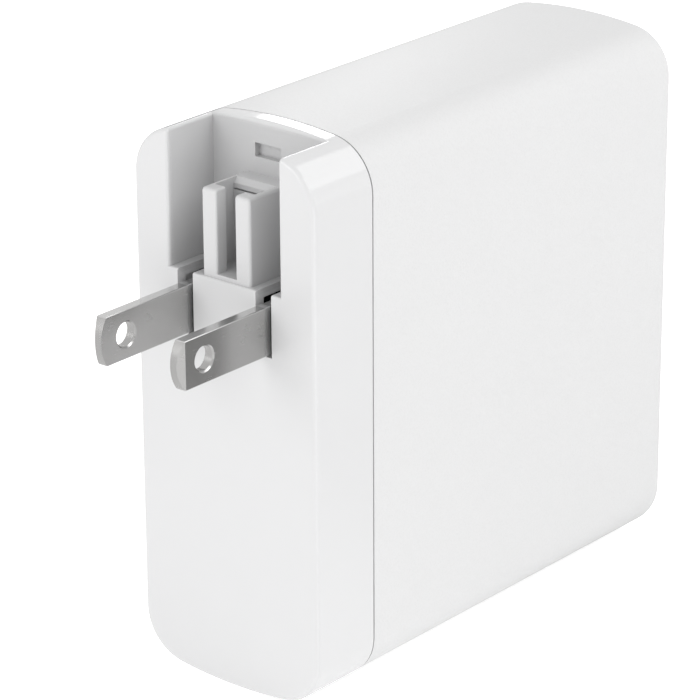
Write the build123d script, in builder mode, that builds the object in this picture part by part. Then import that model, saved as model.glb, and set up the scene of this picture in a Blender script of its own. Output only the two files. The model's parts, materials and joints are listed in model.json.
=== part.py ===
from build123d import *
import math
import os

# A laptop power adapter with two folding blades.
# Frame: +X to the right across the outlet face, +Y into the body, +Z up. The origin is on
# the outlet face, midway between the two blades and on their centre line. Millimetres.

# ---- Blades and their hinge --------------------------------------------------------------
blade_spacing = 12.7  # centre to centre
blade_thickness = 1.52
blade_width = 6.3
blade_reach = 15.95  # outlet face to blade tip
tip_length = 1.05  # length of the rounded end
tip_bevel = 0.5  # depth of the bevel on the outer face of the tip
blade_edge_radius = 0.15
blade_hole_radius = 1.58
blade_hole_setback = 4.4  # tip to hole centre
blade_hole_bevel = 0.2
blade_sink = 1.25  # the folded blades stand this far behind the outlet face

hub_gap = 0.3  # outlet wall to the hub behind it
neck_radius = 1.5  # moulded through the blade roots
flange_thickness = 0.7
journal_radius = 1.4
journal_length = 1.3
journal_fit = 0.05  # radial running clearance
flange_gap = 0.2  # end play beside each flange
notch_radius = 0.55  # detent notches in the hub
notch_length = 4.0

# ---- Outside of the body -----------------------------------------------------------------
body_width = 29.0
body_height = 72.9
body_depth = 74.3
corner_radius = 6.6
crown_rise = 1.6  # top and bottom bow out by this much over the full width
tip_cover = 2.75  # top of the body above the tips of the folded blades
cap_edge_radius = 0.6
rear_edge_radius = 2.4
seam_gap = 0.22

# ---- Front cap ---------------------------------------------------------------------------
outlet_wall = 1.5
recess_side_gap = 1.85  # blade face to the side wall of the recess
recess_floor_gap = 1.6  # top edge of the blades to the floor of the recess
recess_back_gap = 0.95  # folded blades to the back wall of the recess
recess_wall = 1.5
recess_floor_wall = 1.2
cap_setback = 0.95  # seam behind the back wall of the recess
slit_side_gap = 0.5
slit_end_gap = 0.25
recess_edge_radius = 0.4  # rim of the recess
floor_edge_radius = 0.25
skirt_fit = 0.05
skirt_wall = 1.2
skirt_length = 2.6

block_width = 7.8
block_height = 11.3
block_sink = 0.5  # the block stands this far behind the outlet face
block_edge_radius = 0.45
slot_opening = 3.0
slot_edge_radius = 0.3
slot_lip = 1.8
slot_width = 6.4
slot_depth = 3.4
slot_floor = 0.5  # slot floor above the recess floor
lead_in_drop = 0.7  # bevel at the top of the slot's back wall
lead_in_run = 0.6
groove_drop = 1.3  # snap groove in the slot's back wall, below the top of the block
groove_height = 0.25
groove_depth = 0.5
latch_width = 4.2
latch_height = 1.8
latch_depth = 0.9
latch_rise = 2.2  # latch window above the block

cheek_thickness = 1.4
cheek_margin = 1.6  # cheek below its bore
boss_radius = 1.9
boss_spacing = 15.0
boss_drop = 9.5

# ---- Springs, retainer and screws --------------------------------------------------------
wipe_gap = 0.15  # springs stand clear of what turns in front of them
leaf_thickness = 0.3
contact_width = 3.0
detent_width = 2.6
detent_bump_radius = 0.6
leaf_rise = 2.2  # leaf above the hinge
leaf_drop = 6.2  # leaf below the hinge
leaf_bend = 0.5
leaf_relief = 0.35  # leaf to retainer
tail_fit = 0.05
contact_tail = 3.1  # behind the retainer
detent_tail = 0.8
retainer_thickness = 1.5
retainer_margin = 0.35  # retainer to the floor wall above it
retainer_edge = 2.4  # retainer outside the screw centres
screw_radius = 0.8
screw_fit = 0.05
screw_grip = 4.0
screw_head_radius = 1.5
screw_head_height = 1.1
screw_socket_radius = 0.6
screw_socket_depth = 0.5

# ---- Body shell --------------------------------------------------------------------------
shell_wall = 1.8
rear_wall = 2.0
rail_grip = 1.5
rail_rib = 1.0
rail_fit = 0.1
port_fit = 0.12
port_bevel = 0.35

# ---- Boards and what stands on them ------------------------------------------------------
board_thickness = 1.6
board_standoff = 1.1  # main board to the shell beside it
board_margin = 0.2
skirt_clearance = 0.5
port_board_thickness = 1.2
port_board_margin = 0.3
spreader_thickness = 0.8
spreader_gap = 0.1
spreader_margin = 1.5
sheet_thickness = 0.3
headroom_gap = 0.3
part_gap = 0.8

filter_depth = 8.4
x_capacitor_size = (13.0, 7.5, 15.0)
choke_radius = 6.2
choke_bore = 3.4
choke_core_thickness = 6.0
choke_wire = 1.05
choke_fit = 0.05
choke_turn = 130.0
fuse_radius = 4.0
fuse_height = 7.7
varistor_radius = 4.0
varistor_thickness = 4.0
lead_length = 1.5
lead_radius = 0.4

bulk_radius = 5.0
bulk_count = 3
bulk_edge_radius = 0.6
bridge_size = (9.0, 3.6, 8.5)
y_capacitor_radius = 3.5
y_capacitor_thickness = 3.4

core_depth = 12.0
core_height = 24.0
core_leg = 3.0
core_centre_leg = 6.0
winding_fit = 0.1
winding_bulge = 1.3
winding_corner = 2.0
can_radius = 4.0
can_height = 12.0
can_count = 2
inductor_size = (5.0, 7.0, 7.0)
chip_height = 0.85
switch_size = (5.0, 6.0)
switch_pitch = 11.0
chip_size = (4.0, 5.0)
chip_pitch = 13.0

# ---- Sockets -----------------------------------------------------------------------------
socket_wall = 0.3
socket_sink = 0.5  # socket mouth behind the rear face
socket_length = 10.3
socket_pitch = 14.5
usb_c_width = 8.34
usb_c_height = 2.56
usb_c_tongue = (6.69, 0.7)
usb_a_width = 12.5
usb_a_height = 5.12
usb_a_corner = 0.5
usb_a_tongue = (11.1, 1.84)
usb_a_tongue_offset = 0.85
tongue_sink = 1.0
socket_base_length = 3.4

# ---- Wires -------------------------------------------------------------------------------
wire_radius = 0.7
wire_bend = 1.15
wire_inset = 0.8  # wire centre line before the end of the tail
wire_gap = 0.25  # wire to the skirt beside it
line_wire_drop = 6.0
neutral_wire_drop = 10.0

# ---- Worked-out places -------------------------------------------------------------------
blade_x = blade_spacing / 2
blade_inner = blade_x - blade_thickness / 2
blade_outer = blade_x + blade_thickness / 2
blade_half = blade_width / 2
blade_hole_y = blade_hole_setback - blade_reach
tip_start = tip_length - blade_reach
pivot_y = blade_sink + blade_half
hub_radius = pivot_y - outlet_wall - hub_gap

z_top = pivot_y + blade_reach + tip_cover
z_base = z_top - body_height
z_middle = (z_top + z_base) / 2
crown_radius = (body_width**2 / 4 + crown_rise**2) / (2 * crown_rise)

recess_half = blade_outer + recess_side_gap
recess_floor = blade_half + recess_floor_gap
recess_back = pivot_y + blade_half + recess_back_gap
recess_rear = recess_back + recess_wall
floor_under = recess_floor - recess_floor_wall
slit_width = blade_thickness + 2 * slit_side_gap
slit_low = -blade_half - slit_end_gap
slit_rear = pivot_y + blade_half + slit_end_gap

seam_y = recess_rear + cap_setback
cap_rear = seam_y - seam_gap / 2
shell_front = seam_y + seam_gap / 2
cap_wall = shell_wall + skirt_fit + skirt_wall
skirt_rear = cap_rear + skirt_length

block_top = recess_floor + block_height
slot_front = block_sink + slot_lip
slot_rear = slot_front + slot_depth

flange_outer = blade_outer + flange_thickness
cheek_inner = flange_outer + flange_gap
cheek_outer = cheek_inner + cheek_thickness
cheek_middle = (cheek_inner + cheek_outer) / 2
journal_bore = journal_radius + journal_fit
journal_end = cheek_inner + journal_length
cheek_low = -journal_bore - cheek_margin

leaf_face = pivot_y + blade_half + wipe_gap
detent_face = pivot_y + hub_radius + wipe_gap + detent_bump_radius
detent_back = detent_face + leaf_thickness
tail_low = -leaf_drop
retainer_front = max(leaf_face, detent_face) + leaf_thickness + leaf_relief
retainer_rear = retainer_front + retainer_thickness
retainer_top = floor_under - retainer_margin
retainer_low = -boss_drop - retainer_edge
retainer_half = boss_spacing / 2 + retainer_edge
contact_tail_end = retainer_rear + contact_tail
detent_tail_end = retainer_rear + detent_tail
boss_x = boss_spacing / 2
thread_bore = screw_radius + screw_fit
thread_end = retainer_front - screw_grip - screw_fit
screw_end = retainer_front - screw_grip
head_end = retainer_rear + screw_head_height

inner_half = body_width / 2 - shell_wall
inner_rear = body_depth - rear_wall
board_low_x = -inner_half + board_standoff
board_face = board_low_x + board_thickness
board_front = max(skirt_rear, contact_tail_end) + skirt_clearance
rail_high_x = board_face + rail_fit + rail_rib
socket_mouth = body_depth - socket_sink
port_board_rear = socket_mouth - socket_length
port_board_front = port_board_rear - port_board_thickness
port_board_half = inner_half - port_board_margin
port_grow = socket_wall + port_fit
usb_c_heights = (z_middle + socket_pitch, z_middle)
usb_a_z = z_middle - socket_pitch

spreader_face = inner_half - spreader_gap - spreader_thickness
sheet_face = spreader_face - sheet_thickness
spreader_half = body_height / 2 - crown_rise - corner_radius - spreader_margin
part_height = sheet_face - headroom_gap - board_face

filter_y = board_front + part_gap / 2 + filter_depth / 2
filter_rear = filter_y + filter_depth / 2
core_y = port_board_front - part_gap - winding_bulge - core_depth / 2
core_front = core_y - core_depth / 2 - winding_bulge
bulk_y = (filter_rear + core_front) / 2

wire_y = contact_tail_end - wire_inset
wire_end_x = -(body_width / 2 - cap_wall) + wire_radius + wire_gap

NUDGE = 0.01  # tolerance for picking edges by place


def across(y):
    """Plane across the body at depth y: local x is +X, local y is +Z, normal is -Y."""
    return Plane(origin=(0, y, 0), x_dir=(1, 0, 0), z_dir=(0, -1, 0))


def upright(x):
    """Plane along the body at x: local x is +Y, local y is +Z, normal is +X."""
    return Plane.YZ.offset(x)


def body_outline(inset=0.0):
    """The body's section, set in from the outside by inset, drawn flat."""
    half = body_width / 2 - inset
    crown = crown_radius - inset
    apex = z_top - inset
    foot = z_base + inset
    sag = crown - math.sqrt(crown**2 - half**2)
    with BuildSketch() as outline:
        with BuildLine():
            left = Line((-half, foot + sag), (-half, apex - sag))
            top = ThreePointArc(left @ 1, (0, apex), (half, apex - sag))
            right = Line(top @ 1, (half, foot + sag))
            ThreePointArc(right @ 1, (0, foot), left @ 0)
        make_face()
        fillet(outline.vertices(), corner_radius - inset)
    return outline.sketch


def section_height(x, inset):
    """Half the height of the body's section at a distance x from its centre."""
    crown = crown_radius - inset
    corner = corner_radius - inset
    corner_x = body_width / 2 - inset - corner
    crown_z = z_top - inset - crown
    corner_z = crown_z + math.sqrt((crown - corner) ** 2 - corner_x**2)
    if x <= corner_x * crown / (crown - corner):
        return crown_z + math.sqrt(crown**2 - x**2) - z_middle
    return corner_z + math.sqrt(corner**2 - (x - corner_x) ** 2) - z_middle


board_half = section_height(-board_low_x, shell_wall) - board_margin
port_board_half_height = board_half - rail_grip - port_board_margin


def tube(y_front, y_rear, inset, mode=Mode.ADD):
    """A length of the body's section from y_front to y_rear, set in by inset."""
    with BuildSketch(across(y_rear)) as face:
        add(body_outline(inset))
    extrude(face.sketch, amount=y_rear - y_front, mode=mode)


def slab(y_front, y_rear, low, high, middle_x, width, mode=Mode.ADD):
    """A box from y_front to y_rear and from low to high, centred on middle_x."""
    with BuildSketch(across(y_rear)) as face:
        with Locations((middle_x, (low + high) / 2)):
            Rectangle(width, high - low)
    extrude(face.sketch, amount=y_rear - y_front, mode=mode)


def peg(y_front, y_rear, x, z, radius, mode=Mode.ADD):
    """A round bar along Y."""
    with BuildSketch(across(y_rear)) as face:
        with Locations((x, z)):
            Circle(radius)
    extrude(face.sketch, amount=y_rear - y_front, mode=mode)


def rod(x_low, x_high, y, z, radius, mode=Mode.ADD):
    """A round bar along X."""
    with BuildSketch(upright(x_low)) as face:
        with Locations((y, z)):
            Circle(radius)
    extrude(face.sketch, amount=x_high - x_low, mode=mode)


def on_board(size, y, z, edge_radius=0.0):
    """A block of (height, depth, width) standing on the main board at y, z."""
    height, depth, width = size
    with BuildSketch(upright(board_face)) as foot:
        with Locations((y, z)):
            Rectangle(depth, width)
        if edge_radius:
            fillet(foot.vertices(), edge_radius)
    extrude(foot.sketch, amount=height)


def stack(heights):
    """Centres along Z of pieces of these heights, spaced by part_gap about the middle."""
    low = z_middle - (sum(heights) + part_gap * (len(heights) - 1)) / 2
    centres = []
    for height in heights:
        centres.append(low + height / 2)
        low += height + part_gap
    return centres


def usb_c_face(y, z, grow=0.0):
    """The rounded outline of a USB-C opening at depth y, grown all round by grow."""
    with BuildSketch(across(y)) as face:
        with Locations((0, z)):
            SlotOverall(usb_c_width + 2 * grow, usb_c_height + 2 * grow)
    return face.sketch


def usb_a_face(y, z, grow=0.0):
    """The outline of a USB-A opening at depth y, grown all round by grow."""
    with BuildSketch(across(y)) as face:
        with Locations((0, z)):
            RectangleRounded(usb_a_width + 2 * grow, usb_a_height + 2 * grow, usb_a_corner + grow)
    return face.sketch


def save(piece, name):
    """Labels a finished piece and writes it to its own file."""
    piece.part.label = name
    export_step(piece.part, f"parts/{name}.step")


os.makedirs("parts", exist_ok=True)

# ---- Front cap ---------------------------------------------------------------------------
# The raised block between the folded blades, with an undercut slot for a clip-on plug head.
with BuildPart() as clip_block:
    slab(block_sink, recess_back, recess_floor, block_top, 0, block_width)
    posts = clip_block.edges().filter_by(Axis.Z).group_by(Axis.Y)[0]
    rim = clip_block.faces().sort_by(Axis.Z)[-1].edges().group_by(Axis.Y)
    fillet(posts + rim[0] + rim[1], block_edge_radius)
    slot_low = recess_floor + slot_floor
    slab(block_sink, slot_front, slot_low, block_top, 0, slot_opening, Mode.SUBTRACT)
    slab(slot_front, slot_rear, slot_low, block_top, 0, slot_width, Mode.SUBTRACT)
    with BuildSketch(upright(0)):
        with BuildLine():
            Polyline(
                (slot_rear, block_top),
                (slot_rear, block_top - lead_in_drop),
                (slot_rear + lead_in_run, block_top),
                close=True,
            )
        make_face()
    extrude(amount=slot_width / 2, both=True, mode=Mode.SUBTRACT)
    groove_top = block_top - groove_drop
    groove_rear = slot_rear + groove_depth
    slab(slot_rear, groove_rear, groove_top - groove_height, groove_top, 0, slot_width, Mode.SUBTRACT)
    lips = clip_block.edges().filter_by(Axis.Z).group_by(Axis.Y)[0]
    fillet(lips.filter_by(lambda lip: abs(lip.center().X) < block_width / 4), slot_edge_radius)

with BuildPart() as front_cap:
    tube(0, cap_rear, 0)
    fillet(front_cap.edges().group_by(Axis.Y)[0], cap_edge_radius)
    # Hollow behind the outlet wall, round the recess and behind it.
    with BuildSketch(across(recess_rear)):
        add(body_outline(cap_wall))
        with Locations((0, (floor_under + z_top) / 2)):
            Rectangle(2 * (recess_half + recess_wall), z_top - floor_under, mode=Mode.SUBTRACT)
    extrude(amount=recess_rear - outlet_wall, mode=Mode.SUBTRACT)
    tube(recess_rear, cap_rear, cap_wall, Mode.SUBTRACT)
    # Skirt that plugs into the body shell.
    tube(cap_rear, skirt_rear, shell_wall + skirt_fit)
    tube(cap_rear, skirt_rear, cap_wall, Mode.SUBTRACT)
    # Recess, open to the front and the top, with a rounded rim.
    slab(0, recess_back, recess_floor, z_top, 0, 2 * recess_half, Mode.SUBTRACT)
    above_floor = front_cap.edges().filter_by(lambda edge: edge.center().Z > recess_floor + NUDGE)
    side_rims = above_floor.filter_by(
        lambda edge: abs(abs(edge.center().X) - recess_half) < NUDGE
        and edge.center().Y < recess_back - NUDGE
    )
    back_rim = above_floor.filter_by(
        lambda edge: abs(edge.center().X) < NUDGE and abs(edge.center().Y - recess_back) < NUDGE
    )
    fillet(side_rims + back_rim, recess_edge_radius)
    add(clip_block.part)
    # Slits through the outlet wall and the recess floor for the two blades.
    for side in (-1, 1):
        slab(0, slit_rear, slit_low, recess_floor, side * blade_x, slit_width, Mode.SUBTRACT)
    floor_edges = front_cap.edges().filter_by(Axis.X).group_by(Axis.Y)[0]
    fillet(
        floor_edges.filter_by(lambda edge: abs(edge.center().Z - recess_floor) < NUDGE),
        floor_edge_radius,
    )
    # Window for the latch of a clip-on plug head.
    latch_low = block_top + latch_rise
    latch_top = latch_low + latch_height
    latch_back = recess_back + latch_depth
    slab(recess_back, latch_back, latch_low, latch_top, 0, latch_width, Mode.SUBTRACT)
    # Cheeks with the front halves of the hinge bores, and bosses for the retainer screws.
    for side in (-1, 1):
        slab(outlet_wall, pivot_y, cheek_low, floor_under, side * cheek_middle, cheek_thickness)
        peg(outlet_wall, retainer_front, side * boss_x, -boss_drop, boss_radius)
        peg(thread_end, retainer_front, side * boss_x, -boss_drop, thread_bore, Mode.SUBTRACT)
    rod(-cheek_outer, cheek_outer, pivot_y, 0, journal_bore, Mode.SUBTRACT)
save(front_cap, "front_cap")

# ---- Body shell --------------------------------------------------------------------------
with BuildPart() as body_shell:
    tube(shell_front, body_depth, 0)
    fillet(body_shell.edges().group_by(Axis.Y)[-1], rear_edge_radius)
    tube(shell_front, inner_rear, shell_wall, Mode.SUBTRACT)
    # Rails along the top and the bottom that hold the edges of the main board.
    with BuildSketch(across(inner_rear)):
        add(body_outline(shell_wall / 2))
        with Locations((-inner_half - shell_wall, z_middle)):
            Rectangle(
                rail_high_x + inner_half + shell_wall,
                body_height,
                align=(Align.MIN, Align.CENTER),
                mode=Mode.INTERSECT,
            )
        with Locations((0, z_middle)):
            Rectangle(body_width, 2 * (board_half - rail_grip), mode=Mode.SUBTRACT)
        with Locations((board_low_x - rail_fit, z_middle)):
            Rectangle(
                board_thickness + 2 * rail_fit,
                2 * (board_half + rail_fit),
                align=(Align.MIN, Align.CENTER),
                mode=Mode.SUBTRACT,
            )
    extrude(amount=inner_rear - board_front)
    # Openings for the three sockets, with a bevelled rim.
    for z in usb_c_heights:
        extrude(usb_c_face(body_depth, z, port_grow), amount=rear_wall, mode=Mode.SUBTRACT)
    extrude(usb_a_face(body_depth, usb_a_z, port_grow), amount=rear_wall, mode=Mode.SUBTRACT)
    rear_face = body_shell.faces().filter_by(Axis.Y).sort_by(Axis.Y)[-1]
    chamfer(rear_face.inner_wires().edges(), port_bevel)
save(body_shell, "body_shell")

# ---- Blades and hub ----------------------------------------------------------------------
for side, name in ((-1, "left_blade"), (1, "right_blade")):
    with BuildPart() as blade:
        with BuildSketch(upright(side * blade_x)):
            with BuildLine():
                lower = Line((pivot_y, -blade_half), (tip_start, -blade_half))
                tip = ThreePointArc(lower @ 1, (-blade_reach, 0), (tip_start, blade_half))
                upper = Line(tip @ 1, (pivot_y, blade_half))
                ThreePointArc(upper @ 1, (pivot_y + blade_half, 0), lower @ 0)
            make_face()
        extrude(amount=blade_thickness / 2, both=True)
        fillet(blade.edges().filter_by(Axis.Y), blade_edge_radius)
        with BuildSketch(Plane.XY):
            with BuildLine():
                Polyline(
                    (side * blade_outer, tip_start),
                    (side * blade_outer, -blade_reach),
                    (side * (blade_outer - tip_bevel), -blade_reach),
                    close=True,
                )
            make_face()
        extrude(amount=blade_half, both=True, mode=Mode.SUBTRACT)
        rod(
            side * blade_x - blade_thickness / 2,
            side * blade_x + blade_thickness / 2,
            blade_hole_y,
            0,
            blade_hole_radius,
            Mode.SUBTRACT,
        )
        chamfer(
            blade.edges()
            .filter_by(GeomType.CIRCLE)
            .filter_by(lambda rim: abs(rim.radius - blade_hole_radius) < NUDGE),
            blade_hole_bevel,
        )
        rod(
            side * blade_x - blade_thickness / 2,
            side * blade_x + blade_thickness / 2,
            pivot_y,
            0,
            neck_radius,
            Mode.SUBTRACT,
        )
    save(blade, name)

with BuildPart() as blade_hub:
    rod(-journal_end, journal_end, pivot_y, 0, journal_radius)
    rod(-flange_outer, flange_outer, pivot_y, 0, neck_radius)
    rod(-blade_inner, blade_inner, pivot_y, 0, hub_radius)
    rod(-flange_outer, -blade_outer, pivot_y, 0, hub_radius)
    rod(blade_outer, flange_outer, pivot_y, 0, hub_radius)
    # Detent notches, a quarter turn apart.
    half_notch = notch_length / 2
    rod(-half_notch, half_notch, pivot_y + hub_radius, 0, notch_radius, Mode.SUBTRACT)
    rod(-half_notch, half_notch, pivot_y, hub_radius, notch_radius, Mode.SUBTRACT)
save(blade_hub, "blade_hub")

# ---- Hub retainer, its screws and the springs behind the hub -------------------------------
with BuildPart() as hub_retainer:
    slab(retainer_front, retainer_rear, retainer_low, retainer_top, 0, 2 * retainer_half)
    for side in (-1, 1):
        slab(pivot_y, retainer_front, cheek_low, retainer_top, side * cheek_middle, cheek_thickness)
        peg(retainer_front, retainer_rear, side * boss_x, -boss_drop, thread_bore, Mode.SUBTRACT)
    rod(-cheek_outer, cheek_outer, pivot_y, 0, journal_bore, Mode.SUBTRACT)
    # Slots for the tails of the springs.
    for x, width in ((-blade_x, contact_width), (0, detent_width), (blade_x, contact_width)):
        slab(
            retainer_front,
            retainer_rear,
            tail_low - tail_fit,
            tail_low + leaf_thickness + tail_fit,
            x,
            width + 2 * tail_fit,
            Mode.SUBTRACT,
        )
save(hub_retainer, "hub_retainer")

with BuildPart() as retainer_screws:
    for side in (-1, 1):
        peg(screw_end, retainer_rear, side * boss_x, -boss_drop, screw_radius)
        peg(retainer_rear, head_end, side * boss_x, -boss_drop, screw_head_radius)
        with BuildSketch(across(head_end)):
            with Locations((side * boss_x, -boss_drop)):
                RegularPolygon(screw_socket_radius, 6)
        extrude(amount=screw_socket_depth, mode=Mode.SUBTRACT)
save(retainer_screws, "retainer_screws")


def leaf(x, width, front, tail):
    """A bent strip: upright behind the hub with its front at y = front, then a tail to tail."""
    with BuildSketch(upright(x)) as profile:
        with BuildLine():
            FilletPolyline(
                (front + leaf_thickness / 2, leaf_rise),
                (front + leaf_thickness / 2, tail_low + leaf_thickness / 2),
                (tail, tail_low + leaf_thickness / 2),
                radius=leaf_bend,
            )
        trace(line_width=leaf_thickness)
    extrude(profile.sketch, amount=width / 2, both=True)


for side, name in ((-1, "left_contact_spring"), (1, "right_contact_spring")):
    with BuildPart() as contact_spring:
        leaf(side * blade_x, contact_width, leaf_face, contact_tail_end)
    save(contact_spring, name)

with BuildPart() as detent_spring:
    leaf(0, detent_width, detent_face, detent_tail_end)
    rod(-detent_width / 2, detent_width / 2, detent_face, 0, detent_bump_radius)
    bump_back = detent_face + detent_bump_radius
    slab(detent_back, bump_back, -leaf_rise, leaf_rise, 0, detent_width, Mode.SUBTRACT)
save(detent_spring, "detent_spring")

# ---- Boards ------------------------------------------------------------------------------
with BuildPart() as main_board:
    middle_x = (board_low_x + board_face) / 2
    low, high = z_middle - board_half, z_middle + board_half
    slab(board_front, port_board_front, low, high, middle_x, board_thickness)
save(main_board, "main_board")

with BuildPart() as port_board:
    low, high = z_middle - port_board_half_height, z_middle + port_board_half_height
    slab(port_board_front, port_board_rear, low, high, 0, 2 * port_board_half)
save(port_board, "port_board")

# ---- Mains side, nearest the outlet face ---------------------------------------------------
choke_outer = choke_radius + choke_fit + choke_wire
x_capacitor_z, choke_z, fuse_z, varistor_z = stack(
    (x_capacitor_size[2], 2 * choke_outer, 2 * fuse_radius, 2 * varistor_radius)
)
choke_x = board_face + part_gap + choke_outer

with BuildPart() as x_capacitor:
    on_board(x_capacitor_size, filter_y, x_capacitor_z, bulk_edge_radius)
save(x_capacitor, "x_capacitor")

with BuildPart() as choke_core:
    half = choke_core_thickness / 2
    peg(filter_y - half, filter_y + half, choke_x, choke_z, choke_radius)
    peg(filter_y - half, filter_y + half, choke_x, choke_z, choke_bore, Mode.SUBTRACT)
save(choke_core, "choke_core")

with BuildPart() as choke_windings:
    for middle in (0, 180):
        start = math.radians(middle + choke_turn / 2)
        radial = (math.cos(start), 0, math.sin(start))
        tangent = (-math.sin(start), 0, math.cos(start))
        centre = (choke_x, filter_y, choke_z)
        with BuildSketch(Plane(origin=centre, x_dir=radial, z_dir=tangent)) as turns:
            with Locations(((choke_bore + choke_radius) / 2, 0)):
                inner_width = choke_radius - choke_bore + 2 * choke_fit
                inner_depth = choke_core_thickness + 2 * choke_fit
                Rectangle(inner_width + 2 * choke_wire, inner_depth + 2 * choke_wire)
                fillet(turns.vertices(), choke_wire)
                Rectangle(inner_width, inner_depth, mode=Mode.SUBTRACT)
        revolve(axis=Axis(centre, (0, 1, 0)), revolution_arc=choke_turn)
save(choke_windings, "choke_windings")

with BuildPart() as inlet_fuse:
    rod(board_face, board_face + fuse_height, filter_y, fuse_z, fuse_radius)
    fillet(inlet_fuse.edges().filter_by(GeomType.CIRCLE), bulk_edge_radius)
save(inlet_fuse, "inlet_fuse")


def disc_on_leads(y, z, radius, thickness):
    """A disc facing along Y that stands on two leads on the main board."""
    middle_x = board_face + lead_length + radius
    peg(y - thickness / 2, y + thickness / 2, middle_x, z, radius)
    for lead_z in (z - radius / 2, z + radius / 2):
        rod(board_face, middle_x, y, lead_z, lead_radius)


with BuildPart() as surge_varistor:
    disc_on_leads(filter_y, varistor_z, varistor_radius, varistor_thickness)
save(surge_varistor, "surge_varistor")

# ---- Rectifier and bulk storage ------------------------------------------------------------
bridge_z, *bulk_z, y_capacitor_z = stack(
    (bridge_size[2], *[2 * bulk_radius] * bulk_count, 2 * y_capacitor_radius)
)

with BuildPart() as bridge_rectifier:
    on_board(bridge_size, bulk_y, bridge_z)
save(bridge_rectifier, "bridge_rectifier")

with BuildPart() as bulk_capacitors:
    for z in bulk_z:
        rod(board_face, board_face + part_height, bulk_y, z, bulk_radius)
    fillet(bulk_capacitors.edges().filter_by(GeomType.CIRCLE), bulk_edge_radius)
save(bulk_capacitors, "bulk_capacitors")

with BuildPart() as y_capacitor:
    disc_on_leads(bulk_y, y_capacitor_z, y_capacitor_radius, y_capacitor_thickness)
save(y_capacitor, "y_capacitor")

# ---- Transformer and output side -----------------------------------------------------------
inductor_z, *can_z, core_z = stack((inductor_size[2], *[2 * can_radius] * can_count, core_height))
window_height = core_height / 2 - core_leg - core_centre_leg / 2
window_z = (core_height / 2 - core_leg + core_centre_leg / 2) / 2
core_x = board_face + part_height / 2

with BuildPart() as transformer_core:
    core_rear = core_y + core_depth / 2
    core_face = core_y - core_depth / 2
    low, high = core_z - core_height / 2, core_z + core_height / 2
    slab(core_face, core_rear, low, high, core_x, part_height)
    for side in (-1, 1):
        low = core_z + side * window_z - window_height / 2
        width = part_height - 2 * core_leg
        slab(core_face, core_rear, low, low + window_height, core_x, width, Mode.SUBTRACT)
save(transformer_core, "transformer_core")

with BuildPart() as transformer_winding:
    winding_low = board_face + core_leg + winding_fit
    with BuildSketch(upright(winding_low)) as turns:
        with Locations((core_y, core_z)):
            winding_height = core_height - 2 * core_leg - 2 * winding_fit
            Rectangle(core_depth + 2 * winding_bulge, winding_height)
            fillet(turns.vertices(), winding_corner)
            Rectangle(
                core_depth + 2 * winding_fit,
                core_centre_leg + 2 * winding_fit,
                mode=Mode.SUBTRACT,
            )
    extrude(amount=part_height - 2 * core_leg - 2 * winding_fit)
save(transformer_winding, "transformer_winding")

with BuildPart() as output_capacitors:
    for z in can_z:
        rod(board_face, board_face + can_height, core_y, z, can_radius)
    fillet(output_capacitors.edges().filter_by(GeomType.CIRCLE), bulk_edge_radius)
save(output_capacitors, "output_capacitors")

with BuildPart() as output_inductor:
    on_board(inductor_size, core_y, inductor_z, bulk_edge_radius)
save(output_inductor, "output_inductor")


def chips_behind_board(size, y, places):
    """Flat chips on the side of the main board that faces the shell."""
    with BuildSketch(upright(board_low_x)) as feet:
        with Locations(*[(y, z) for z in places]):
            Rectangle(*size)
    extrude(feet.sketch, amount=-chip_height)


with BuildPart() as power_switches:
    chips_behind_board(switch_size, core_y, (core_z - switch_pitch / 2, core_z + switch_pitch / 2))
save(power_switches, "power_switches")

with BuildPart() as control_chips:
    chips_behind_board(chip_size, bulk_y, (z_middle - chip_pitch / 2, z_middle + chip_pitch / 2))
save(control_chips, "control_chips")

# ---- Heat spreader and its insulation ------------------------------------------------------
for name, face, thickness in (
    ("insulation_sheet", sheet_face, sheet_thickness),
    ("heat_spreader", spreader_face, spreader_thickness),
):
    with BuildPart() as sheet:
        low, high = z_middle - spreader_half, z_middle + spreader_half
        rear = port_board_front - part_gap
        slab(board_front, rear, low, high, face + thickness / 2, thickness)
    save(sheet, name)

# ---- Sockets -----------------------------------------------------------------------------
tongue_end = socket_mouth - tongue_sink
base_end = port_board_rear + socket_base_length
for name, z in zip(("upper_usb_c", "lower_usb_c"), usb_c_heights):
    with BuildPart() as socket_shell:
        extrude(usb_c_face(socket_mouth, z, socket_wall), amount=socket_length)
        extrude(usb_c_face(socket_mouth, z), amount=socket_length, mode=Mode.SUBTRACT)
    save(socket_shell, f"{name}_shell")
    with BuildPart() as socket_tongue:
        extrude(usb_c_face(base_end, z), amount=socket_base_length)
        width, thickness = usb_c_tongue
        slab(port_board_rear, tongue_end, z - thickness / 2, z + thickness / 2, 0, width)
    save(socket_tongue, f"{name}_tongue")

with BuildPart() as usb_a_shell:
    extrude(usb_a_face(socket_mouth, usb_a_z, socket_wall), amount=socket_length)
    extrude(usb_a_face(socket_mouth, usb_a_z), amount=socket_length, mode=Mode.SUBTRACT)
save(usb_a_shell, "usb_a_shell")

with BuildPart() as usb_a_tongue_piece:
    extrude(usb_a_face(base_end, usb_a_z), amount=socket_base_length)
    width, thickness = usb_a_tongue
    high = usb_a_z + usb_a_height / 2 - usb_a_tongue_offset
    slab(port_board_rear, tongue_end, high - thickness, high, 0, width)
save(usb_a_tongue_piece, "usb_a_tongue")

# ---- Wires from the contact springs to the main board --------------------------------------
for name, side, drop in (("line_wire", -1, line_wire_drop), ("neutral_wire", 1, neutral_wire_drop)):
    with BuildPart() as wire:
        low = tail_low - drop
        with BuildLine() as route:
            FilletPolyline(
                (side * blade_x, wire_y, tail_low),
                (side * blade_x, wire_y, low),
                (wire_end_x, wire_y, low),
                (wire_end_x, board_front, low),
                radius=wire_bend,
            )
        with BuildSketch(Plane(origin=route.line @ 0, z_dir=route.line % 0)):
            Circle(wire_radius)
        sweep()
    save(wire, name)
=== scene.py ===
import json
import math

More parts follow.
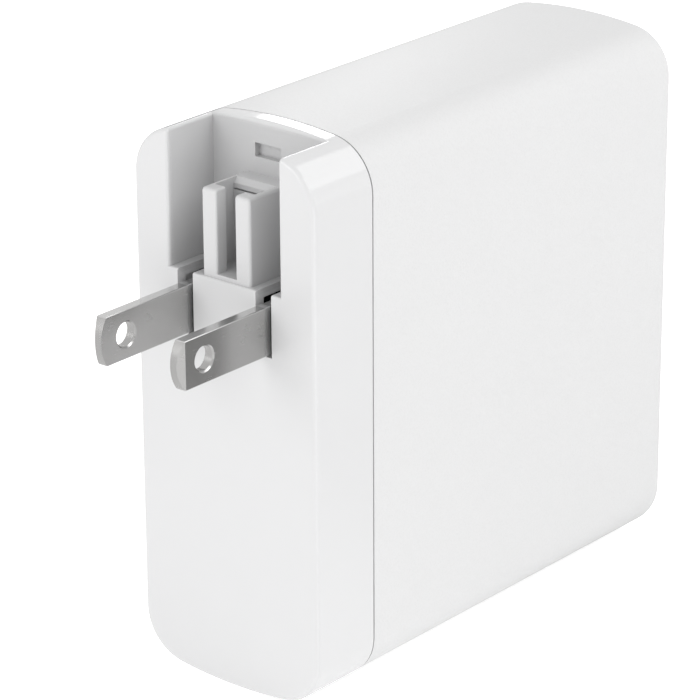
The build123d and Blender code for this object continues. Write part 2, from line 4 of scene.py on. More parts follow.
import bmesh
import bpy
from bpy.props import FloatProperty, FloatVectorProperty, PointerProperty
from mathutils import Matrix, Vector


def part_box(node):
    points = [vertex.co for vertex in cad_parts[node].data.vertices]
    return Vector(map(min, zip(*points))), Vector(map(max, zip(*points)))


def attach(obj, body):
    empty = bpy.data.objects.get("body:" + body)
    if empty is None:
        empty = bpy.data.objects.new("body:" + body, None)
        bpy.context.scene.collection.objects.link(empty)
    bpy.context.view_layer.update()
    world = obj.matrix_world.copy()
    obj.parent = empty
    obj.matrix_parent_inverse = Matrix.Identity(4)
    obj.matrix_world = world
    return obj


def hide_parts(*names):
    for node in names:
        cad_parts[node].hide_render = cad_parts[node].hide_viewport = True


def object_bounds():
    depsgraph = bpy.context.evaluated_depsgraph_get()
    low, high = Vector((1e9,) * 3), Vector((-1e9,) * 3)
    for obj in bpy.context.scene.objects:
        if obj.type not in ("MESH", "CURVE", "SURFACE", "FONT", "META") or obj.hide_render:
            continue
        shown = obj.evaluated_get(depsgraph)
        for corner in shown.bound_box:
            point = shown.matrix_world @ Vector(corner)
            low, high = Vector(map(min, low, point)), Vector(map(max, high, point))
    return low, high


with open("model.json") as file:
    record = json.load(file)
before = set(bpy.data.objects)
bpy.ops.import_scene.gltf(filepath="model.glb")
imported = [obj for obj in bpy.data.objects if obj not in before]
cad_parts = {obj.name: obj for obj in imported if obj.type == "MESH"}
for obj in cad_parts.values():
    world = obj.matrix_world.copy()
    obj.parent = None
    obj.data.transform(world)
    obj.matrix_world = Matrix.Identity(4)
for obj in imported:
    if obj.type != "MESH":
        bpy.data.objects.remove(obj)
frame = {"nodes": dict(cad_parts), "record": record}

bl_info = {
    "name": "Folding Plug Power Adapter",
    "version": (1, 0, 0),
    "blender": (4, 5, 0),
    "location": "View3D > Sidebar > Power Adapter",
    "description": "Finishes and detailed pieces for a power adapter with folding blades",
    "category": "Object",
}

CAD_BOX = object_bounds()
MM = 0.001
SHARP_ANGLE = math.radians(35)

# The recess in the front cap: half its width, the height of its floor and how far back it goes.
# The painted shade and the duller finish in it begin within the fade.
RECESS_HALF = 8.96 * MM
RECESS_FLOOR = 4.75 * MM
RECESS_DEPTH = 8.5 * MM
RECESS_FADE = 0.6 * MM

# The base at the back of each socket, the steel of the wide one's shell, and the roundings.
SOCKET_BASE = 3.4 * MM
SHEET_STEEL = 0.3 * MM
TONGUE_EDGE = 0.12 * MM
CONTACT_EDGE = 0.012 * MM

# The tongue of a small socket, with contacts above and below.
C_TONGUE_WIDTH = 6.69 * MM
C_TONGUE_THICKNESS = 0.7 * MM
C_BASE_GAP = 0.01 * MM
C_CONTACTS = 12
C_CONTACT_PITCH = 0.5 * MM
C_CONTACT_WIDTH = 0.26 * MM
C_CONTACT_SETBACK = 0.7 * MM
C_CONTACT_HEIGHT = 0.03 * MM

# The tongue of the wide socket, with contacts below.
A_TONGUE_WIDTH = 11.1 * MM
A_TONGUE_THICKNESS = 1.84 * MM
A_TONGUE_OFFSET = 0.85 * MM
A_BASE_CORNER = 0.5 * MM
A_CONTACT_PLACES = (-3.5 * MM, -1.0 * MM, 1.0 * MM, 3.5 * MM)
A_CONTACT_WIDTH = 1.1 * MM
A_CONTACT_SETBACK = 0.9 * MM
A_CONTACT_HEIGHT = 0.08 * MM

# The wide socket's shell, and the sprung tabs in it that press on the plug.
A_SHELL_CORNER = 0.8 * MM
TAB_PLACE = 3.1 * MM
TAB_HALF_WIDTH = 0.9 * MM
TAB_THICKNESS = 0.16 * MM
TAB_EDGE = 0.05 * MM
TAB_ROOT = 6.6 * MM
TAB_TIP = 1.6 * MM
TAB_SLOPE = math.radians(3.6)

# How bright the floor is by itself, and in a reflection: near, far, and in the streak.
FLOOR_GLOW = 0.39
MIRRORED_SHADES = (0.95, 0.33, 3.13)
MIRRORED_FAR_SIDE = 45 * MM
MIRRORED_FADE = 60 * MM
STREAK_TURN = math.radians(29)
STREAK_HALF_WIDTH = math.radians(8)
STREAK_FADE = math.radians(4)

# The name, place, size and power in watts of each soft light.
SOFTBOXES = (
    ("strip_light", (-0.0827, 0.1177, 0.0814), (0.03, 0.042), 0.02),
    ("side_softbox", (0.42, 0.82, 0.68), (0.9, 0.55), 2.6),
    ("edge_softbox", (0.8, 0.15, 0.8), (0.6, 0.6), 3.0),
    ("front_softbox", (-0.35, -1.1, 0.45), (0.7, 0.7), 3.9),
)

# Where the camera looks, how it is turned, and how far it is from there along its own axes.
CAMERA_AIM = Vector((0, 38.0, -11.8)) * MM
CAMERA_TURN = math.radians(39.604)
CAMERA_RISE = math.radians(21.358)
CAMERA_ROLL = math.radians(-0.205)
CAMERA_OFFSET = Vector((-6.73, -4.583, 477.417)) * MM
CAMERA_SHIFT = (-0.0254, 0.0116)

SLOT_NODES = {}
for part in frame["record"]["subparts"]:
    SLOT_NODES.setdefault(part["material_slot"], []).append(part["node"])


# ---- Shader building -----------------------------------------------------------------------
def both_ways(operation):
    """An operator's method and its reflected form, which both build a Math node."""

    def forward(self, other):
        return self.maths(operation, self, other)

    def reflected(self, other):
        return self.maths(operation, other, self)

    return forward, reflected


class Value:
    """A node's output that Python's operators build Math nodes on."""

    def __init__(self, finish, socket):
        self.finish = finish
        self.socket = socket

    def maths(self, operation, *operands):
        return self.finish.node("ShaderNodeMath", {"operation": operation}, operands)

    __add__, __radd__ = both_ways("ADD")
    __sub__, __rsub__ = both_ways("SUBTRACT")
    __mul__, __rmul__ = both_ways("MULTIPLY")
    __truediv__, __rtruediv__ = both_ways("DIVIDE")

    def __abs__(self):
        return self.maths("ABSOLUTE", self)

    def fraction(self):
        return self.maths("FRACT", self)

    def angle(self, other):
        """The angle in radians of the point (other, self) round the origin."""
        return self.maths("ARCTAN2", self, other)

    def over(self, edge, softness):
        """0 below edge and 1 above it, with a smooth change softness wide."""
        settings = {"interpolation_type": "SMOOTHSTEP"}
        ends = (self, edge - softness / 2, edge + softness / 2, 0.0, 1.0)
        return self.finish.node("ShaderNodeMapRange", settings, ends)


class Finish:
    """One procedural material on object coordinates in metres."""

    def __init__(self, name, **constants):
        self.material = bpy.data.materials.new(name)
        self.material.use_nodes = True
        self.tree = self.material.node_tree
        self.shader = self.tree.nodes["Principled BSDF"]
        for socket, value in constants.items():
            self.shader.inputs[socket.replace("_", " ")].default_value = value
        self.place = self.node("ShaderNodeTexCoord", output="Object")

    def feed(self, socket, value):
        if isinstance(value, Value):
            self.tree.links.new(value.socket, socket)
        else:
            socket.default_value = value

    def node(self, kind, settings=None, inputs=(), output=0):
        """Makes a node, sets it up, then feeds its inputs, and returns one of its outputs."""
        made = self.tree.nodes.new(kind)
        for name, value in (settings or {}).items():
            setattr(made, name, value)
        for name, value in inputs.items() if isinstance(inputs, dict) else enumerate(inputs):
            self.feed(made.inputs[name], value)
        return Value(self, made.outputs[output])

    def axis(self, index):
        """The place along X, Y or Z, in metres."""
        return self.node("ShaderNodeSeparateXYZ", {}, (self.place,), index)

    def noise(self, size, detail, stretch=None):
        """Smooth noise from 0 to 1, about size metres across and drawn out along some axes."""
        place = self.place
        if stretch:
            scale = tuple(1 / factor for factor in stretch)
            place = self.node("ShaderNodeMapping", {}, {"Vector": place, "Scale": scale})
        inputs = {"Vector": place, "Scale": 1 / size, "Detail": detail}
        return self.node("ShaderNodeTexNoise", {}, inputs, "Fac")

    def pits(self, size):
        """The distance to the middle of the nearest of many cells about size metres across."""
        inputs = {"Vector": self.place, "Scale": 1 / size}
        return self.node("ShaderNodeTexVoronoi", {}, inputs, "Distance")

    def blend(self, factor, low, high):
        """Mixes two colours."""
        colours = [c if isinstance(c, Value) else (*c, 1.0) for c in (low, high)]
        inputs = {0: factor, 6: colours[0], 7: colours[1]}
        return self.node("ShaderNodeMix", {"data_type": "RGBA"}, inputs, 2)

    def mix(self, factor, low, high):
        """Mixes two shaders."""
        return self.node("ShaderNodeMixShader", {}, (factor, low, high))

    def between(self, factor, low, high):
        """A number that goes from low to high as factor goes from 0 to 1."""
        return factor * (high - low) + low

    def bump(self, height, depth, below=None):
        """A normal raised by height times depth metres, on top of the one below."""
        inputs = {"Height": height, "Distance": depth, "Strength": 1.0}
        if below is not None:
            inputs["Normal"] = below
        return self.node("ShaderNodeBump", {}, inputs)

    def paint(self, **surface):
        """Feeds the shader's own inputs, named as in Base_Color, and returns the material."""
        for name, value in surface.items():
            self.feed(self.shader.inputs[name.replace("_", " ")], value)
        return self.material


def shade(colour, factor):
    """A colour made darker or lighter."""
    return tuple(min(1.0, channel * factor) for channel in colour)


def grained(name, low, high, mottle, rough, grain, depth, **constants):
    """A surface with mottled colour, uneven gloss and a fine grain."""
    finish = Finish(name, **constants)
    tint = finish.noise(mottle, 3.0)
    fine = finish.noise(grain, 3.0)
    return finish.paint(
        Base_Color=finish.blend(tint.over(0.5, 0.5), low, high),
        Roughness=finish.between(finish.noise(mottle / 2, 2.0), *rough),
        Normal=finish.bump(fine, depth),
    )


def brushed(name):
    """Drawn steel with fine lines along Y."""
    finish = Finish(name, Metallic=1.0)
    lines = finish.noise(0.07 * MM, 3.0, (1, 30, 1))
    blotches = finish.noise(1.8 * MM, 2.0)
    mixed = lines * 0.5 + blotches * 0.5
    return finish.paint(
        Base_Color=finish.blend(mixed, (0.44, 0.44, 0.45), (0.66, 0.66, 0.66)),
        Roughness=finish.between(lines, 0.2, 0.36),
        Normal=finish.bump(lines, 0.001 * MM),
    )


def dress(slot, material):
    """Puts a material on every CAD node of a record slot."""
    for name in SLOT_NODES[slot]:
        for holder in frame["nodes"][name].material_slots:
            holder.material = material


# ---- Sizes and colours that a user would change ---------------------------------------------
def colour_property(name, description, default):
    return FloatVectorProperty(
        name=name,
        description=description,
        default=default,
        subtype="COLOR",
        size=3,
        min=0.0,
        max=1.0,
    )


def length_property(name, description, default):
    return FloatProperty(
        name=name, description=description, default=default, unit="LENGTH", min=0.0
    )


class HousingSettings(bpy.types.PropertyGroup):
    """Colours and grain of the cap and the shell."""

    cap_colour: colour_property(
        "Cap colour", "Colour of the glossy front cap", (0.62, 0.62, 0.624)
    )
    shell_colour: colour_property(
        "Shell colour", "Colour of the matte shell", (0.62, 0.62, 0.622)
    )
    shell_grain: length_property("Shell grain", "Size of the shell's moulded grain", 0.34 * MM)


class PlugSettings(bpy.types.PropertyGroup):
    """Colours of the blades and the hub that carries them."""

    blade_colour: colour_property(
        "Blade colour", "Colour of the plated blades", (0.48, 0.476, 0.47)
    )
    hub_colour: colour_property("Hub colour", "Colour of the moulded hub", (0.02, 0.02, 0.021))


class SocketSettings(bpy.types.PropertyGroup):
    """Colour of the contacts in the sockets."""

    contact_colour: colour_property(
        "Contact colour", "Colour of the plated contacts", (0.85, 0.62, 0.28)
    )


class StageSettings(bpy.types.PropertyGroup):
    """Floor, light and camera."""

    floor_size: length_property("Floor size", "Width of the square floor", 6.0)
    sky_light: FloatProperty(
        name="Sky light", description="Strength of the even light all round", default=0.87, min=0.0
    )
    lens: FloatProperty(
        name="Lens",
        description="Focal length of the camera in millimetres",
        default=187.85,
        min=1.0,
        unit="CAMERA",
    )


# ---- Operators -----------------------------------------------------------------------------
class ADAPTER_OT_front_cap(bpy.types.Operator):
    """Gives the front cap its glossy moulded finish"""

    bl_idname = "adapter.front_cap"
    bl_label = "Front Cap"
    bl_options = {"REGISTER", "UNDO"}

    def execute(self, context):
        colour = tuple(context.scene.adapter_housing.cap_colour)
        finish = Finish("glossy_white_plastic", IOR=1.49)
        flow = finish.noise(9 * MM, 2.0)
        peel = finish.noise(1.4 * MM, 1.0)
        specks = finish.noise(0.12 * MM, 2.0)
        # The mould isn't polished in the recess, where the plastic is duller; it is also greyer
        # there, which is painted shade.
        x, y, z = (finish.axis(index) for index in range(3))
        fade = RECESS_FADE
        shaded_recess = (
            y.over(fade, fade)
            * (RECESS_HALF + fade / 2 - abs(x)).over(0.0, fade)
            * z.over(RECESS_FLOOR - fade, fade)
            * (CAD_BOX[1].z - fade - z).over(0.0, fade)
            * (RECESS_DEPTH + 2 * fade - y).over(0.0, fade)
        )
        polished = finish.blend(flow, shade(colour, 0.985), colour)
        finish.paint(
            # Painted shade: the colour is darker in the recess.
            Base_Color=finish.blend(shaded_recess, polished, shade(colour, 0.83)),
            Roughness=finish.between(specks.over(0.55, 0.4), 0.10, 0.15) + shaded_recess * 0.2,
            Normal=finish.bump(peel, 0.003 * MM, finish.bump(specks, 0.0004 * MM)),
        )
        dress("cap_gloss", finish.material)
        return {"FINISHED"}


class ADAPTER_OT_body_shell(bpy.types.Operator):
    """Gives the body shell its fine-grained matte finish"""

    bl_idname = "adapter.body_shell"
    bl_label = "Body Shell"
    bl_options = {"REGISTER", "UNDO"}

    def execute(self, context):
        settings = context.scene.adapter_housing
        colour = tuple(settings.shell_colour)
        grain = settings.shell_grain
        finish = Finish("matte_grained_plastic", IOR=1.49)
        flow = finish.noise(12 * MM, 2.0)
        fine = finish.noise(grain * 0.6, 3.0)
        height = finish.pits(grain) * 0.6 + fine * 0.4
        mixed = height.over(0.35, 0.5) * 0.7 + flow * 0.3
        finish.paint(
            Base_Color=finish.blend(mixed, shade(colour, 0.95), colour),
            Roughness=finish.between(fine, 0.46, 0.62),
            Normal=finish.bump(height, 0.028 * MM),
        )
        dress("shell_matte", finish.material)
        return {"FINISHED"}


class ADAPTER_OT_blades(bpy.types.Operator):
    """Gives the blades their satin plated finish"""

    bl_idname = "adapter.blades"
    bl_label = "Blades"
    bl_options = {"REGISTER", "UNDO"}

    def execute(self, context):
        colour = tuple(context.scene.adapter_plug.blade_colour)
        low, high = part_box("right_blade")
        half = (high.z - low.z) / 2
        finish = Finish("satin_nickel", Metallic=1.0)
        streaks = finish.noise(0.10 * MM, 3.0, (1, 40, 1))
        patches = finish.noise(2.5 * MM, 2.0)
        pits = finish.noise(0.06 * MM, 2.0)
        # The long edges are lightened as a painted highlight, and are a little smoother; a band at
        # the root, where the blade meets its slit, is lightened as a painted highlight too.
        edge = abs(finish.axis(2)).over(half - 0.12 * MM, 0.15 * MM)
        y = finish.axis(1)
        root_highlight = y.over(-0.45 * MM, 0.5 * MM) * (0.35 * MM - y).over(0.0, 0.1 * MM)
        base = finish.blend(streaks * 0.6 + patches * 0.4, shade(colour, 0.94), colour)
        finish.paint(
            # Painted highlights: the long edges and the band at the root are lightened.
            Base_Color=finish.blend(edge * 0.3 + root_highlight * 0.9, base, shade(colour, 2.2)),
            Roughness=finish.between(streaks * 0.4 + patches * 0.6, 0.23, 0.3) - edge * 0.04,
            Normal=finish.bump(streaks, 0.0005 * MM, finish.bump(pits, 0.0005 * MM)),
        )
        dress("blade_nickel", finish.material)
        return {"FINISHED"}


class ADAPTER_OT_hub(bpy.types.Operator):
    """Gives the hub, its retainer and screws, and the springs their finishes"""

    bl_idname = "adapter.hub"
    bl_label = "Hub, Retainer and Springs"
    bl_options = {"REGISTER", "UNDO"}

    def execute(self, context):
        dark = tuple(context.scene.adapter_plug.hub_colour)
        light = shade(dark, 1.6)
        # Two colours, size of the mottling, roughness, size and depth of the grain, metallic.
        # The sizes are in millimetres.
        for slot, name, low, high, mottle, rough, grain, depth, metallic in (
            ("hub_black", "hub_plastic", dark, light,
             2.0, (0.4, 0.55), 0.1, 0.004, 0.0),
            ("retainer_black", "retainer_plastic", dark, light,
             3.0, (0.45, 0.62), 0.15, 0.006, 0.0),
            ("screw_steel", "zinc_plated_steel", (0.5, 0.5, 0.52), (0.62, 0.62, 0.62),
             0.8, (0.25, 0.4), 0.05, 0.002, 1.0),
            ("contact_bronze", "phosphor_bronze", (0.62, 0.38, 0.2), (0.74, 0.5, 0.28),
             1.5, (0.28, 0.42), 0.08, 0.002, 1.0),
            ("spring_steel", "spring_steel", (0.4, 0.4, 0.41), (0.55, 0.55, 0.55),
             1.5, (0.25, 0.38), 0.08, 0.002, 1.0),
        ):
            sizes = (mottle * MM, rough, grain * MM, depth * MM)
            dress(slot, grained(name, low, high, *sizes, Metallic=metallic))
        return {"FINISHED"}


class ADAPTER_OT_electronics(bpy.types.Operator):
    """Gives the boards, wires and electronic parts their finishes"""

    bl_idname = "adapter.electronics"
    bl_label = "Electronics"
    bl_options = {"REGISTER", "UNDO"}

    def execute(self, context):
        for slot, low, high, rough, metallic in (
            ("wire_black", (0.012, 0.012, 0.013), (0.03, 0.03, 0.03), (0.4, 0.55), 0.0),
            ("wire_white", (0.62, 0.62, 0.6), (0.75, 0.75, 0.73), (0.4, 0.55), 0.0),
            ("film_yellow", (0.75, 0.5, 0.05), (0.85, 0.6, 0.1), (0.35, 0.5), 0.0),
            ("ferrite", (0.02, 0.02, 0.022), (0.06, 0.06, 0.062), (0.5, 0.7), 0.0),
            ("fuse_brown", (0.08, 0.035, 0.015), (0.14, 0.06, 0.03), (0.35, 0.5), 0.0),
            ("disc_blue", (0.02, 0.09, 0.3), (0.04, 0.15, 0.42), (0.3, 0.45), 0.0),
            ("can_bare", (0.6, 0.6, 0.61), (0.75, 0.75, 0.76), (0.2, 0.35), 1.0),
            ("chip_black", (0.01, 0.01, 0.011), (0.03, 0.03, 0.03), (0.45, 0.6), 0.0),
            ("sheet_clear", (0.75, 0.72, 0.6), (0.85, 0.83, 0.72), (0.2, 0.35), 0.0),
            ("spreader", (0.55, 0.55, 0.56), (0.7, 0.7, 0.71), (0.3, 0.45), 1.0),
            ("socket_steel", (0.5, 0.5, 0.51), (0.65, 0.65, 0.66), (0.2, 0.32), 1.0),
            ("tongue_black", (0.012, 0.012, 0.013), (0.03, 0.03, 0.03), (0.4, 0.55), 0.0),
        ):
            sizes = (2 * MM, rough, 0.1 * MM, 0.004 * MM)
            dress(slot, grained(slot, low, high, *sizes, Metallic=metallic))
        dress("board_green", printed_board(1.27 * MM))
        dress("can_sleeve", sleeved_can("bulk_capacitors"))
        dress("winding_copper", wound_copper("choke_core", 26))
        dress("winding_tape", wrapped_tape(3 * MM))
        return {"FINISHED"}


def printed_board(pitch):
    """Green solder mask over copper lanes, with tinned pads on a grid."""
    finish = Finish("printed_board")
    along = (finish.axis(1) / pitch).fraction() - 0.5
    across = (finish.axis(2) / pitch).fraction() - 0.5
    chosen = finish.noise(5 * MM, 1.0, (1, 3, 1)).over(0.5, 0.02)
    lane = (0.16 - abs(across)).over(0.0, 0.05) * chosen
    drilled = finish.noise(3 * MM, 1.0).over(0.56, 0.02)
    pad = (0.05 - along * along - across * across).over(0.0, 0.02) * drilled
    weave = finish.noise(0.35 * MM, 2.0)
    mask = finish.blend(lane, (0.006, 0.07, 0.03), (0.02, 0.16, 0.07))
    return finish.paint(
        Base_Color=finish.blend(pad, mask, (0.62, 0.62, 0.6)),
        Metallic=pad,
        Roughness=finish.between(weave, 0.22, 0.36),
        Normal=finish.bump(lane * 0.5 + pad + weave * 0.1, 0.03 * MM),
    )


def sleeved_can(node):
    """A shrunk dark sleeve that leaves the can's metal top bare."""
    finish = Finish("sleeved_can")
    top = finish.axis(0).over(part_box(node)[1].x - 0.3 * MM, 0.08 * MM)
    shrink = finish.noise(0.5 * MM, 2.0, (4, 1, 1))
    sleeve = finish.blend(shrink, (0.012, 0.012, 0.016), (0.035, 0.035, 0.045))
    return finish.paint(
        Base_Color=finish.blend(top, sleeve, (0.68, 0.68, 0.69)),
        Metallic=top,
        Roughness=finish.between(shrink, 0.22, 0.38),
        Normal=finish.bump(shrink + top * 0.5, 0.02 * MM),
    )


def wound_copper(node, turns):
    """Enamelled wire wound round a ring that lies across Y."""
    low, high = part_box(node)
    finish = Finish("wound_copper", Metallic=1.0)
    angle = (finish.axis(2) - (low.z + high.z) / 2).angle(finish.axis(0) - (low.x + high.x) / 2)
    off = abs((angle * (turns / (2 * math.pi))).fraction() - 0.5) * 2
    enamel = finish.noise(0.3 * MM, 2.0)
    # The valleys between turns are darkened as painted shade.
    shaded_valley = off.over(0.8, 0.5)
    wire = finish.blend(enamel, (0.62, 0.2, 0.07), (0.8, 0.32, 0.13))
    return finish.paint(
        Base_Color=finish.blend(shaded_valley, wire, (0.16, 0.05, 0.02)),
        Roughness=finish.between(enamel, 0.18, 0.32) + shaded_valley * 0.2,
        Normal=finish.bump(off * off * -1.0, 0.35 * MM),
    )


def wrapped_tape(width):
    """Layers of tape wound about X, each overlapping the last."""
    finish = Finish("winding_tape")
    step = (finish.axis(0) / width).fraction()
    crease = finish.noise(0.6 * MM, 3.0, (1, 5, 5))
    return finish.paint(
        Base_Color=finish.blend(
            step.over(0.9, 0.2) * 0.5 + crease * 0.4, (0.85, 0.6, 0.06), (0.5, 0.3, 0.02)
        ),
        Roughness=finish.between(crease, 0.22, 0.4),
        Normal=finish.bump(step + crease * 0.4, 0.06 * MM),
    )


class ADAPTER_OT_sockets(bpy.types.Operator):
    """Makes the tongues of the sockets with their contacts, and the wide socket's sprung shell"""

    bl_idname = "adapter.sockets"
    bl_label = "Sockets"
    bl_options = {"REGISTER", "UNDO"}

    def execute(self, context):
        colour = tuple(context.scene.adapter_sockets.contact_colour)
        black = grained(
            "socket_plastic", (0.012, 0.012, 0.013), (0.03, 0.03, 0.03),
            1 * MM, (0.35, 0.5), 0.08 * MM, 0.003 * MM,
        )
        gold = grained(
            "plated_contact", shade(colour, 0.85), colour,
            0.6 * MM, (0.18, 0.3), 0.04 * MM, 0.001 * MM, Metallic=1.0,
        )
        for name in ("upper_usb_c", "lower_usb_c"):
            self.make_c_tongue(name, (black, gold))
        self.make_a_tongue((black, gold))
        self.make_a_shell(brushed("drawn_steel"))
        return {"FINISHED"}

    def make_tongue(self, node, width, low, high, base_corner):
        """The base at the back of a socket and the tongue that stands out of it."""
        mesh = bmesh.new()
        corner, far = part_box(node)
        base_end = corner.y + SOCKET_BASE
        block(mesh, corner, (far.x, base_end, far.z), base_corner, 6, along=1)
        block(mesh, (-width / 2, base_end, low), (width / 2, far.y, high), TONGUE_EDGE, 2)
        return mesh, base_end, far.y

    def make_contacts(self, mesh, places, width, front, rear, low, high):
        """A row of flat contacts across a tongue."""
        for x in places:
            ends = (x - width / 2, front, low), (x + width / 2, rear, high)
            block(mesh, *ends, CONTACT_EDGE, 1, material=1)

    def make_c_tongue(self, name, materials):
        node = f"{name}_tongue"
        low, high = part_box(node)
        middle = (low.z + high.z) / 2
        half = C_TONGUE_THICKNESS / 2
        inner = half - C_CONTACT_HEIGHT
        corner = (high.z - low.z) / 2 - C_BASE_GAP
        mesh, base, end = self.make_tongue(
            node, C_TONGUE_WIDTH, middle - inner, middle + inner, corner
        )
        first = (1 - C_CONTACTS) / 2
        places = [(first + index) * C_CONTACT_PITCH for index in range(C_CONTACTS)]
        rear = end - C_CONTACT_SETBACK
        for side in (-1, 1):
            sunk = side * (half - 2 * C_CONTACT_HEIGHT)
            heights = sorted((middle + sunk, middle + side * half))
            self.make_contacts(mesh, places, C_CONTACT_WIDTH, base, rear, *heights)
        finished(f"{name}_contacts", mesh, materials, "housing", node)

    def make_a_tongue(self, materials):
        node = "usb_a_tongue"
        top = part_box(node)[1].z - A_TONGUE_OFFSET
        bottom = top - A_TONGUE_THICKNESS
        mesh, base, end = self.make_tongue(
            node, A_TONGUE_WIDTH, bottom + A_CONTACT_HEIGHT, top, A_BASE_CORNER
        )
        rear = end - A_CONTACT_SETBACK
        heights = (bottom, bottom + 2 * A_CONTACT_HEIGHT)
        self.make_contacts(mesh, A_CONTACT_PLACES, A_CONTACT_WIDTH, base, rear, *heights)
        finished("usb_a_contacts", mesh, materials, "housing", node)

    def make_a_shell(self, steel):
        node = "usb_a_shell"
        low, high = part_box(node)
        mesh = bmesh.new()
        block(mesh, low, high, A_SHELL_CORNER, 5, along=1)
        mesh.normal_update()
        ends = [face for face in mesh.faces if abs(face.normal.y) > 0.9]
        bmesh.ops.inset_individual(
            mesh, faces=ends, thickness=SHEET_STEEL, use_even_offset=True
        )
        rims = [edge for face in ends for edge in face.edges]
        bmesh.ops.delete(mesh, geom=ends, context="FACES_ONLY")
        bmesh.ops.bridge_loops(mesh, edges=rims)
        for side, wall in ((-1, low.z + SHEET_STEEL), (1, high.z - SHEET_STEEL)):
            for x in (-TAB_PLACE, TAB_PLACE):
                root = high.y - TAB_ROOT
                heights = sorted((wall, wall - side * TAB_THICKNESS))
                near = (x - TAB_HALF_WIDTH, root, heights[0])
                far = (x + TAB_HALF_WIDTH, high.y - TAB_TIP, heights[1])
                tab = block(mesh, near, far, TAB_EDGE, 1)
                slope = Matrix.Rotation(-side * TAB_SLOPE, 3, "X")
                bmesh.ops.rotate(mesh, cent=(x, root, wall), matrix=slope, verts=tab)
        bmesh.ops.recalc_face_normals(mesh, faces=mesh.faces)
        finished("usb_a_sprung_shell", mesh, (steel,), "housing", node)


class ADAPTER_OT_stage(bpy.types.Operator):
    """Makes the floor, the soft light and the camera"""

    bl_idname = "adapter.stage"
    bl_label = "Stage"
    bl_options = {"REGISTER", "UNDO"}

    def execute(self, context):
        scene = context.scene
        settings = scene.adapter_stage
        self.make_floor(settings.floor_size)
        self.make_light(scene, settings.sky_light)
        self.make_camera(scene, settings.lens)
        scene.view_settings.view_transform = "Standard"
        return {"FINISHED"}

    def make_floor(self, size):
        mesh = bmesh.new()
        level = Matrix.Translation((0, 0, CAD_BOX[0].z))
        bmesh.ops.create_grid(mesh, x_segments=8, y_segments=8, size=size / 2, matrix=level)
        finish = Finish("pale_floor")
        mottle = finish.noise(40 * MM, 2.0)
        finish.paint(
            Base_Color=finish.blend(mottle, (0.93, 0.93, 0.93), (0.95, 0.95, 0.95)),
            Roughness=finish.between(mottle, 0.6, 0.7),
            Emission_Color=(1.0, 1.0, 1.0, 1.0),
            Emission_Strength=FLOOR_GLOW,
        )
        seen = Value(finish, finish.shader.outputs[0])
        # A reflection shows a floor that darkens towards the back, with one bright streak that
        # runs out from the front right corner and draws a thin line of light on it.
        near, far, bright = (
            finish.node("ShaderNodeEmission", {}, {"Color": (1, 1, 1, 1), "Strength": strength})
            for strength in MIRRORED_SHADES
        )
        far_side = finish.axis(1).over(MIRRORED_FAR_SIDE, MIRRORED_FADE)
        turn = finish.axis(1).angle(finish.axis(0) - CAD_BOX[1].x)
        streak = (STREAK_HALF_WIDTH - abs(turn + STREAK_TURN)).over(0.0, STREAK_FADE)
        mirrored = finish.mix(streak, finish.mix(far_side, near, far), bright)
        is_mirrored = finish.node("ShaderNodeLightPath", output="Is Glossy Ray")
        # The underside is clear, so that the part can be seen from below.
        clear = finish.node("ShaderNodeBsdfTransparent")
        is_under = finish.node("ShaderNodeNewGeometry", output="Backfacing")
        surface = finish.mix(is_under, finish.mix(is_mirrored, seen, mirrored), clear)
        finish.feed(finish.tree.nodes["Material Output"].inputs["Surface"], surface)
        floor = finished("studio_floor", mesh, (finish.material,))

    def make_light(self, scene, strength):
        world = bpy.data.worlds.new("studio")
        world.use_nodes = True
        sky = world.node_tree.nodes["Background"]
        sky.inputs["Color"].default_value = (1, 1, 1, 1)
        sky.inputs["Strength"].default_value = strength
        scene.world = world
        for name, place, size, power in SOFTBOXES:
            lamp = bpy.data.lights.new(name, "AREA")
            lamp.shape = "RECTANGLE"
            lamp.size, lamp.size_y = size
            lamp.energy = power
            light = bpy.data.objects.new(name, lamp)
            light.location = place
            light.rotation_euler = (-Vector(place)).to_track_quat("-Z", "Y").to_euler()
            # The small one only shows as a reflection on the crown of the cap.
            light.visible_camera = light.visible_diffuse = name != "strip_light"
            scene.collection.objects.link(light)

    def make_camera(self, scene, lens):
        lens_data = bpy.data.cameras.new("camera")
        lens_data.lens = lens
        lens_data.sensor_width = 36.0
        lens_data.shift_x, lens_data.shift_y = CAMERA_SHIFT
        lens_data.clip_start = 0.01
        lens_data.clip_end = 20.0
        camera = bpy.data.objects.new("camera", lens_data)
        turned = (
            Matrix.Rotation(CAMERA_TURN, 4, "Z")
            @ Matrix.Rotation(math.pi / 2 - CAMERA_RISE, 4, "X")
            @ Matrix.Rotation(CAMERA_ROLL, 4, "Z")
        )
        aimed = Matrix.Translation(CAMERA_AIM)
        camera.matrix_world = aimed @ turned @ Matrix.Translation(CAMERA_OFFSET)
        scene.collection.objects.link(camera)
        scene.camera = camera


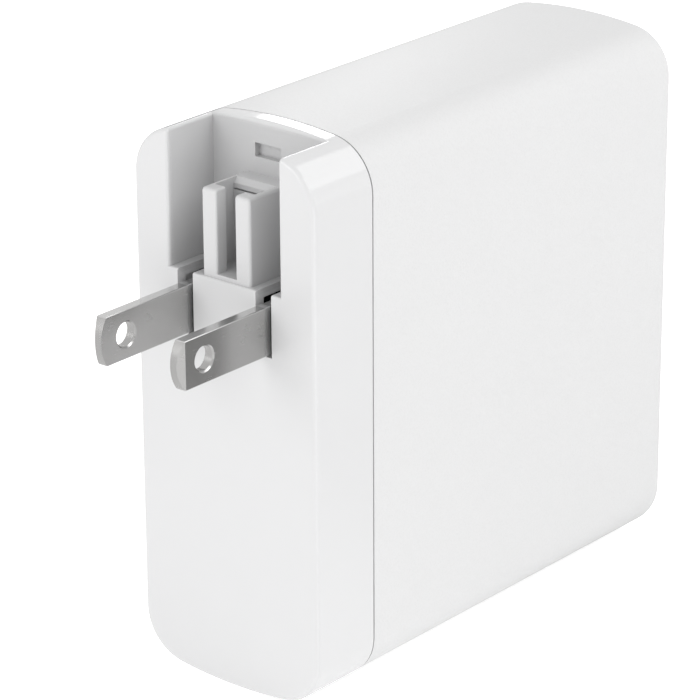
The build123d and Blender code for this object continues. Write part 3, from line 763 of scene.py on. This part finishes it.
def block(mesh, low, high, radius, segments, along=None, material=0):
    """Adds a box with its edges rounded, all or those along one axis, and returns its vertices."""
    low, high = Vector(low), Vector(high)
    corners = bmesh.ops.create_cube(mesh, size=1.0)["verts"]
    bmesh.ops.scale(mesh, vec=high - low, verts=corners)
    bmesh.ops.translate(mesh, vec=(low + high) / 2, verts=corners)
    mesh.faces.ensure_lookup_table()
    for face in mesh.faces[-6:]:
        face.material_index = material
    mesh.edges.ensure_lookup_table()
    edges = mesh.edges[-12:]
    if along is not None:
        spans = [(edge, edge.verts[0].co - edge.verts[1].co) for edge in edges]
        edges = [edge for edge, span in spans if abs(span[along]) > 0.99 * span.length]
    known = len(mesh.verts) - 8
    bmesh.ops.bevel(
        mesh,
        geom=edges,
        offset=radius,
        offset_type="OFFSET",
        segments=segments,
        profile=0.5,
        affect="EDGES",
        material=-1,
        clamp_overlap=True,
    )
    mesh.verts.ensure_lookup_table()
    return mesh.verts[known:]


def finished(name, mesh, materials, body=None, node=None):
    """Turns a bmesh into a smooth object, hangs it on the body it rides on, and hides the CAD node
    it stands for.
    """
    data = bpy.data.meshes.new(name)
    for face in mesh.faces:
        face.smooth = True
    mesh.to_mesh(data)
    mesh.free()
    data.set_sharp_from_angle(angle=SHARP_ANGLE)
    for material in materials:
        data.materials.append(material)
    piece = bpy.data.objects.new(name, data)
    bpy.context.scene.collection.objects.link(piece)
    if body:
        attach(piece, body)
    if node:
        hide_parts(node)
    return piece


# ---- Panel and registration ------------------------------------------------------------------
OPERATORS = (
    ADAPTER_OT_front_cap,
    ADAPTER_OT_body_shell,
    ADAPTER_OT_blades,
    ADAPTER_OT_hub,
    ADAPTER_OT_electronics,
    ADAPTER_OT_sockets,
    ADAPTER_OT_stage,
)
GROUPS = {
    "adapter_housing": HousingSettings,
    "adapter_plug": PlugSettings,
    "adapter_sockets": SocketSettings,
    "adapter_stage": StageSettings,
}


class ADAPTER_PT_panel(bpy.types.Panel):
    """Lists the adapter's settings and the operators that make it"""

    bl_idname = "ADAPTER_PT_panel"
    bl_label = "Power Adapter"
    bl_space_type = "VIEW_3D"
    bl_region_type = "UI"
    bl_category = "Power Adapter"

    def draw(self, context):
        for name, group in GROUPS.items():
            column = self.layout.box().column()
            for field in group.__annotations__:
                column.prop(getattr(context.scene, name), field)
        for operator in OPERATORS:
            self.layout.operator(operator.bl_idname)


def register():
    for group in (*GROUPS.values(), *OPERATORS, ADAPTER_PT_panel):
        bpy.utils.register_class(group)
    for name, group in GROUPS.items():
        setattr(bpy.types.Scene, name, PointerProperty(type=group))


def unregister():
    for name in GROUPS:
        delattr(bpy.types.Scene, name)
    for group in (ADAPTER_PT_panel, *reversed(OPERATORS), *GROUPS.values()):
        bpy.utils.unregister_class(group)


def main():
    register()
    for operator in OPERATORS:
        group, name = operator.bl_idname.split(".")
        getattr(getattr(bpy.ops, group), name)()


if __name__ == "__main__":
    main()
